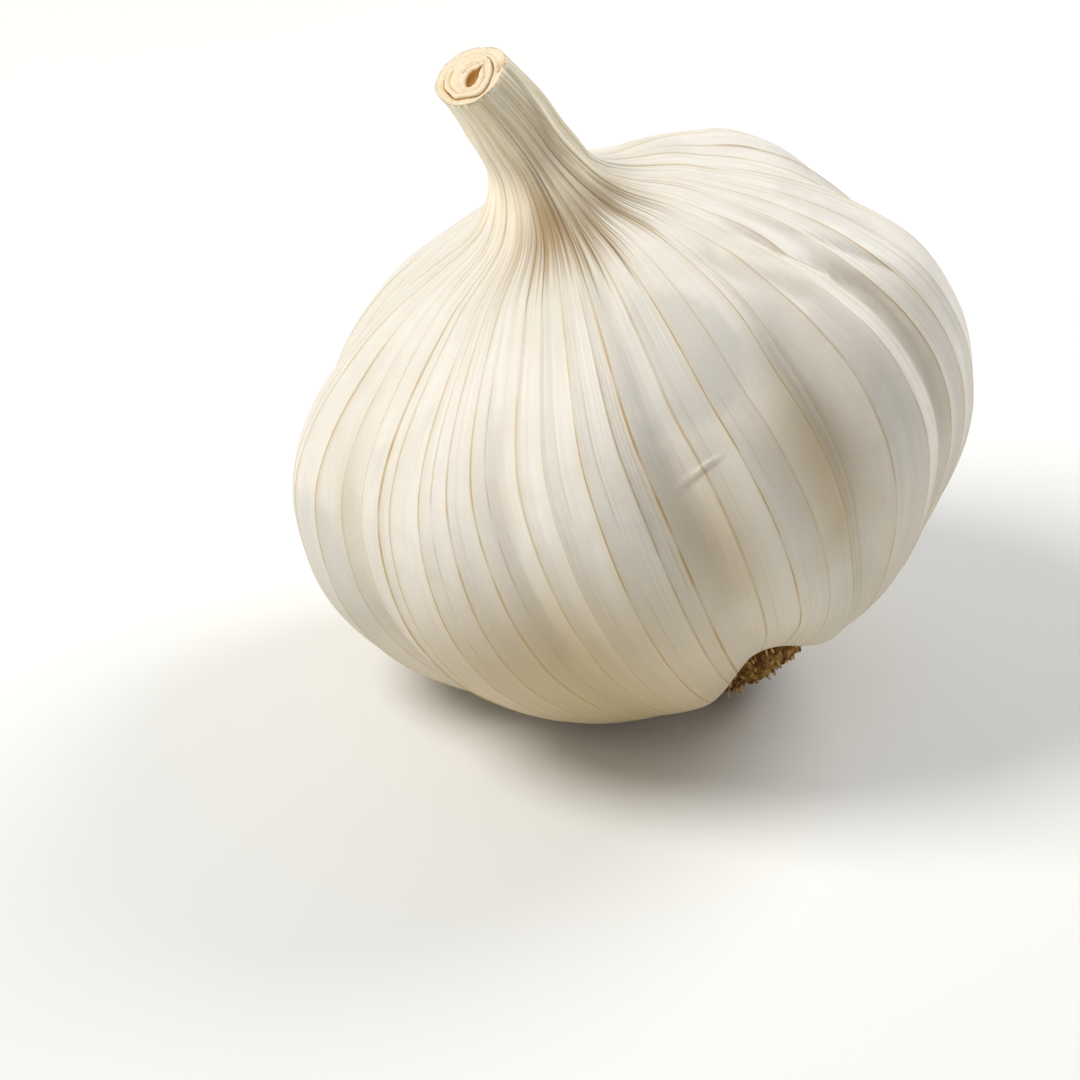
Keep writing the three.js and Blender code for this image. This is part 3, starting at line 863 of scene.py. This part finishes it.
# Panel, height and panel width at each corner. The last panel's end is the first one's start, so its corners
# there count on instead of starting again.
RIM_PANEL_WIDTH = 0.4
height_of = np.concatenate([skin_h[:, 0], np.full(len(rim_rings), CUT_HEIGHT)])
width_of = np.concatenate([2 * math.pi * skin_r[:, 0] / VEINS, np.full(len(rim_rings), RIM_PANEL_WIDTH)])
panel_at = panel_of[column_of]
face_first = read_numbers(skin_mesh.polygons, "loop_start")
face_size = read_numbers(skin_mesh.polygons, "loop_total")
face_of = np.repeat(np.arange(len(face_first)), face_size)
face_most = np.maximum.reduceat(panel_at, face_first)[face_of]
panel_at = np.where((face_most > VEINS - 0.5) & (panel_at < 0.5), panel_at + VEINS, panel_at)
width_at = width_of[ring_of] * panel_share(panel_of)[column_of]
set_corners(skin_mesh, "skin", np.stack([panel_at, height_of[ring_of], width_at], -1))

# How brown each corner is: painted shade in the valleys, partly real tan and partly painted shade low on one
# side, and a stain in a ragged ring at the root plate
stain_and_shade = np.zeros_like(skin_azimuth)
# Painted shade: each valley is browned on its shaded side
for valley, _, _, highest, bend, before, _, _, valley_shade in VALLEYS:
    away = from_valley(skin_azimuth, skin_r, skin_h, valley, bend)
    valley_shade_here = valley_shade * bell(away + 0.45 * before, 0.6 * before + 1)
    stain_and_shade = stain_and_shade + valley_shade_here * (1 - ramp(highest - VALLEY_SHADE_END, highest, skin_h))
stain_and_shade = stain_and_shade * ramp(*VALLEY_SHADE_FROM, skin_h)
# Partly real tan and partly painted shade, low on one side
tan_and_shade_side = TAN_AND_SHADE * bell(off_azimuth(skin_azimuth, TAN_AND_SHADE_AZIMUTH), TAN_AND_SHADE_SPREAD)
stain_and_shade = np.maximum(stain_and_shade, tan_and_shade_side * (1 - ramp(*TAN_AND_SHADE_ENDS, skin_h)))
ring_edge = skin_r + ROOT_STAIN_RAGGED * waves(skin_azimuth, 0, count=7, seed=81, turns=(9, 48))
beside_root = ROOT_STAIN * (1 - ramp(*ROOT_STAIN_OUT_TO, ring_edge))
stain_and_shade = np.maximum(stain_and_shade, beside_root * (1 - ramp(*ROOT_STAIN_UP_TO, skin_h)))

# How high the tan neck starts, with a tongue that hangs down in front, and how rubbed the skin is
side_on = np.abs(off_azimuth(skin_azimuth, NECK_FRONT))
tongue = bell(skin_azimuth - TONGUE_AZIMUTH, TONGUE_WIDTH)
tan_from = TAN_HEIGHT + TAN_HIGHER_BEHIND * ramp(*BEHIND_FROM, side_on) - TONGUE_LENGTH * tongue
rubbed = np.full_like(skin_azimuth, -1.0)
for azimuth, height, half_width, half_height in PATCHES:
    off = np.hypot(off_azimuth(skin_azimuth, azimuth) / half_width, (skin_h - height) / half_height)
    rubbed = np.maximum(rubbed, 1 - off)
# For each corner: its brown from stains and painted shade, where its tan neck starts, and how rubbed it is
wear_and_shade = np.stack([stain_and_shade, tan_from, rubbed], -1)
wear_and_shade = np.concatenate([wear_and_shade, np.repeat(wear_and_shade[-1:], len(rim_rings), 0)])
set_corners(skin_mesh, "wear_and_shade", wear_and_shade[ring_of, column_of])

# Radius, azimuth and depth of the rim and the bore, as the colour of the cut takes them
RIM_OUTER_RADIUS = 3.7
RIM_INNER_RADIUS = 2.7
rim_radius = np.concatenate([
    np.zeros(len(skin)),
    np.linspace(RIM_OUTER_RADIUS, RIM_INNER_RADIUS, len(RIM)),
    np.full(len(BORE_WALL), BORE_RADIUS),
])
rim_depth = np.zeros((len(rings), columns))
for k, (share, _) in enumerate(RIM):
    rim_depth[len(skin) + k] = gap_at(top_azimuth, share)
rim_depth[len(skin) + len(RIM):] = 1.0
cut_at = np.stack([rim_radius[ring_of], top_azimuth[column_of], rim_depth[ring_of, column_of]], -1)
set_corners(skin_mesh, "cut", cut_at)
lowest_ring = np.minimum.reduceat(ring_of, face_first)
skin_mesh.polygons.foreach_set("material_index", (lowest_ring >= len(skin) - 1).astype(int))
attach(bulb_skin, "root")
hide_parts("bulb")

# The rolled inner leaf in the cut end. Its side: how far below the cut, how much narrower than at its top,
# and how brown. The same for the wall of its hole.
ROLL_COLUMNS = 144
ROLL_SIDE = [
    (1.8, 0.8, 1.0), (0.8, 0.95, 0.9), (0.42, 1.02, 0.8), (0.26, 1.02, 0.7), (0.14, 1.0, 0.5),
    (0.04, 1.0, 0.1),
]
ROLL_TOP = np.linspace(0.04, 0.97, 16)
ROLL_RADIUS = 2.35
ROLL_GAP = 0.19
ROLL_TOUCHES = 45
ROLL_CLOSER = 0.15
ROLL_CLOSER_SPREAD = 50
ROLL_ABOVE_CUT = 0.08
HOLE_WALL = [(0.12, 0.97, 0.6), (0.3, 0.9, 0.9), (0.6, 0.75, 1.0), (0.9, 0.45, 1.0)]
HOLE_MIDDLE = np.array([0.4, -0.45, 0])
HOLE_LONG = 1.0
HOLE_SHORT = 0.72
HOLE_TURN = 62
HOLE_COLOUR_RADIUS = 0.7
TAIL_AZIMUTH = 27
TAIL_LENGTH = 0.7
TAIL_SPREAD = 13
# The groove: the azimuth it starts at, its share of the way to the hole there and how much it gains in a turn
GROOVE_FROM = 120
GROOVE_SHARE = 0.2
GROOVE_GAINS = 0.55
GROOVE_WIDTH = 0.05
GROOVE_DEPTH = 0.22


def hole_radius(azimuth):
    """The space inside the last turn, round its own middle: a long oval with a tail."""
    turned = np.radians(azimuth - HOLE_TURN)
    oval = HOLE_LONG * HOLE_SHORT / np.hypot(HOLE_SHORT * np.cos(turned), HOLE_LONG * np.sin(turned))
    return oval + TAIL_LENGTH * bell(off_azimuth(azimuth, TAIL_AZIMUTH), TAIL_SPREAD)


def inner_roll():
    """Azimuths of the roll's columns, and its rings, each with the radius and depth that its colour takes."""
    azimuth = 360 / ROLL_COLUMNS * np.arange(ROLL_COLUMNS)
    closed = ROLL_CLOSER * bell(off_azimuth(azimuth, ROLL_TOUCHES), ROLL_CLOSER_SPREAD)
    uneven = 0.04 * waves(azimuth, 0, count=4, seed=41, turns=(2, 9))
    outer_radius = bore_at(azimuth) - ROLL_GAP + closed + uneven
    outer_top = on_axis(outer_radius, azimuth, CUT_HEIGHT)
    hole_top = on_axis(hole_radius(azimuth), azimuth, CUT_HEIGHT) + HOLE_MIDDLE
    parts = []
    for drop, narrower, depth in ROLL_SIDE:
        parts.append((on_axis(outer_radius * narrower, azimuth, CUT_HEIGHT - drop), ROLL_RADIUS, depth))
    # The turn inside: a shallow spiral groove from the outside of the roll to its hole
    groove_at = GROOVE_SHARE + GROOVE_GAINS * ((azimuth - GROOVE_FROM) % 360) / 360
    for share in ROLL_TOP:
        ring = outer_top * (1 - share) + hole_top * share
        groove = bell(share - groove_at, GROOVE_WIDTH)
        lump = 0.035 * waves(azimuth, 12 * share, count=5, seed=51, turns=(3, 24), rate=(0.5, 2))
        ring[:, 2] += ROLL_ABOVE_CUT + lump - GROOVE_DEPTH * groove - 0.12 * share**4
        parts.append((ring, ROLL_RADIUS - 1.6 * share, 0.75 * groove))
    for drop, narrower, depth in HOLE_WALL:
        ring = on_axis(hole_radius(azimuth) * narrower, azimuth, CUT_HEIGHT - drop) + HOLE_MIDDLE
        parts.append((ring, HOLE_COLOUR_RADIUS, depth))
    return azimuth, parts


def with_middles(grid):
    """A grid's points or values, with the mean of the first ring before them and of the last one after."""
    flat = grid.reshape((-1,) + grid.shape[2:])
    return np.concatenate([grid[:1].mean(1), flat, grid[-1:].mean(1)])


roll_azimuth, roll_parts = inner_roll()
roll_rings = np.stack([ring for ring, _, _ in roll_parts])
roll_values = np.stack([
    np.stack(np.broadcast_arrays(radius, roll_azimuth, depth), -1) for _, radius, depth in roll_parts
])
neck_roll = make_mesh(
    "neck_inner_roll",
    to_row(with_middles(roll_rings)).tolist(),
    closed_faces(len(roll_rings), ROLL_COLUMNS),
    [CUT],
)
roll_corners = read_numbers(neck_roll.data.loops, "vertex_index")
set_corners(neck_roll.data, "cut", with_middles(roll_values)[roll_corners])
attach(neck_roll, "root")
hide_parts("neck_inner_leaf")

# The root plate: its outline from the middle out, as radius and height, its lumps and its rough face, with
# the heights at which both end
PLATE_CENTRE = np.array([0.7, -0.4, 0])
PLATE_OUTLINE = [
    (0.3, 1.5), (2.2, 1.3), (4.2, 0.5), (5.6, -0.3), (6.7, -0.1), (7.1, 1.1), (6.7, 2.7), (5.7, 4.5),
]
PLATE_RINGS = 60
PLATE_COLUMNS = 240
PLATE_LUMP = 0.16
PLATE_LUMP_COUNTS = (5, 9)
LUMPS_END = (3.5, 4.5)
PLATE_ROUGH = 0.14
ROUGH_FROM_RADIUS = (0.5, 2)
ROUGH_ENDS = (3.5, 4.4)


def plate_disc():
    """Rings of the disc, from the middle of its face to its edge under the skin."""
    azimuth = 360 / PLATE_COLUMNS * np.arange(PLATE_COLUMNS)
    radius, height = smooth_outline(PLATE_OUTLINE, PLATE_RINGS)
    r = radius[:, None]
    h = height[:, None]
    lump = PLATE_LUMP * sum(np.sin(np.radians(count * (azimuth + count))) for count in PLATE_LUMP_COUNTS)
    ring = on_axis(r + lump * (1 - ramp(*LUMPS_END, h)), azimuth[None, :], h)
    rough = PLATE_ROUGH * waves(azimuth, 3 * r + 2 * h, count=16, seed=61, turns=(7, 60), rate=(0.4, 2.2))
    rough = rough * ramp(*ROUGH_FROM_RADIUS, r) * (1 - ramp(*ROUGH_ENDS, h))
    return ring + normals_of(ring) * rough[..., None] + PLATE_CENTRE


plate_rings = plate_disc()
root_disc = make_mesh(
    "root_disc",
    to_row(with_middles(plate_rings)).tolist(),
    closed_faces(len(plate_rings), PLATE_COLUMNS),
    [CORK],
)
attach(root_disc, "root")
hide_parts("root_plate")

# Rows of roots: how many, their radius and height on the plate, droop, length and thickness
ROOT_ROWS = [
    (110, 6.75, 3.0, 52, 0.85, 0.18),
    (110, 7.0, 2.1, 54, 0.85, 0.19),
    (110, 7.1, 1.2, 60, 0.8, 0.19),
    (100, 6.7, 0.2, 62, 0.65, 0.2),
    (84, 5.9, -0.3, 70, 0.65, 0.21),
    (60, 4.8, 0.2, 80, 0.7, 0.2),
    (38, 3.4, 0.7, 86, 0.7, 0.19),
]
ROOT_SIDES = 6
ROOT_STEPS = 5
# Share of a root that is sunk in the plate, how it curls, how much thinner its tip is, and how far each one
# may be off its row: in droop and to the side in degrees, and in shares of its length and thickness
ROOT_SUNK = 0.2
ROOT_CURL = 0.35
ROOT_TAPER = 0.45
ROOT_DROOP_OFF = 18
ROOT_SIDE_OFF = 25
ROOT_LENGTHS = (0.5, 1.1)
ROOT_GIRTHS = (0.6, 1.3)
NOT_ALONG_A_ROOT = [0.3, 0.5, 0.8]


def root_strands():
    """Vertices, tones and faces of the roots. A tone is a root's own number and the way along it."""
    draw = np.random.default_rng(71)
    vertices = []
    tones = []
    faces = []
    for count, radius, height, droop, length, thickness in ROOT_ROWS:
        for i in range(count):
            azimuth = 360 / count * (i + draw.uniform(-0.4, 0.4))
            base = on_axis(radius + draw.uniform(-0.15, 0.15), azimuth, height + draw.uniform(-0.4, 0.4))
            sink = math.radians(droop + draw.uniform(-ROOT_DROOP_OFF, ROOT_DROOP_OFF))
            side = math.radians(azimuth + draw.uniform(-ROOT_SIDE_OFF, ROOT_SIDE_OFF))
            flat = math.cos(sink)
            way = np.array([math.cos(side) * flat, math.sin(side) * flat, -math.sin(sink)])
            curl = draw.normal(0, ROOT_CURL, 3)
            reach = length * draw.uniform(*ROOT_LENGTHS)
            thick = thickness * draw.uniform(*ROOT_GIRTHS)
            across = np.cross(way, NOT_ALONG_A_ROOT)
            across /= np.linalg.norm(across)
            other = np.cross(way, across)
            start = len(vertices)
            tone = draw.random()
            for k in range(ROOT_STEPS + 1):
                t = k / ROOT_STEPS
                middle = base + way * reach * (t - ROOT_SUNK) + curl * reach * t * t * 0.5
                girth = thick * (1 - ROOT_TAPER * t) * draw.uniform(0.85, 1.15)
                for j in range(ROOT_SIDES):
                    angle = 2 * math.pi * j / ROOT_SIDES
                    vertices.append(middle + girth * (math.cos(angle) * across + math.sin(angle) * other))
                    tones.append((tone, t, 0))
            faces += ring_faces(ROOT_STEPS + 1, ROOT_SIDES, start)
            faces.append([start + ROOT_SIDES * ROOT_STEPS + j for j in range(ROOT_SIDES)])
            faces.append([start + j for j in reversed(range(ROOT_SIDES))])
    return np.array(vertices) + PLATE_CENTRE, np.array(tones), faces


strand_vertices, strand_tones, strand_faces = root_strands()
root_pieces = make_mesh("root_strands", to_row(strand_vertices).tolist(), strand_faces, [ROOT])
strand_corners = read_numbers(root_pieces.data.loops, "vertex_index")
set_corners(root_pieces.data, "strand", strand_tones[strand_corners])
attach(root_pieces, "root")
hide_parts("root_plate")

# Floor, light and camera
FLOOR_HALF = 3
floor_shader = Shader("floor")
floor_shader.dress(Base_Color=srgb(236, 236, 234), Roughness=0.9)
floor = make_mesh(
    "floor",
    [(x * FLOOR_HALF, y * FLOOR_HALF, 0) for x, y in ((-1, -1), (1, -1), (1, 1), (-1, 1))],
    [[0, 1, 2, 3]],
    [floor_shader.material],
)

SKY_COLOUR = (0.97, 0.98, 1.0, 1.0)
SKY_STRENGTH = 0.35
world = bpy.data.worlds.new("studio")
world.use_nodes = True
world.node_tree.nodes["Background"].inputs["Color"].default_value = SKY_COLOUR
world.node_tree.nodes["Background"].inputs["Strength"].default_value = SKY_STRENGTH
bpy.context.scene.world = world
bpy.context.scene.view_settings.view_transform = "Standard"

# What the lights are aimed at, and how wide they are
LIGHT_TARGET = Vector((8, 0, 25))
LIGHT_SIZE = 300


def area_light(name, place_mm, power, colour):
    lamp = bpy.data.lights.new(name, "AREA")
    lamp.shape = "DISK"
    lamp.size = LIGHT_SIZE * MM
    lamp.energy = power
    lamp.color = colour
    held = bpy.data.objects.new(name, lamp)
    held.location = Vector(place_mm) * MM
    held.rotation_euler = (LIGHT_TARGET - Vector(place_mm)).to_track_quat("-Z", "Y").to_euler()
    bpy.context.scene.collection.objects.link(held)


area_light("key", (-340, -60, 450), power=2.5, colour=(1.0, 0.98, 0.935))
area_light("back", (330, 300, 330), power=1.65, colour=(0.985, 0.99, 1.0))

# The view of the photograph: 29 degrees down, 420 mm from the bulb, square picture
CAMERA_DOWN = 29
camera_data = bpy.data.cameras.new("camera")
camera_data.lens = 151.9
camera_data.sensor_width = 36.0
camera = bpy.data.objects.new("camera", camera_data)
camera.location = Vector((-0.16, -372.43, 219.86)) * MM
camera.rotation_euler = (math.radians(90 - CAMERA_DOWN), 0, 0)
bpy.context.scene.collection.objects.link(camera)
bpy.context.scene.camera = camera
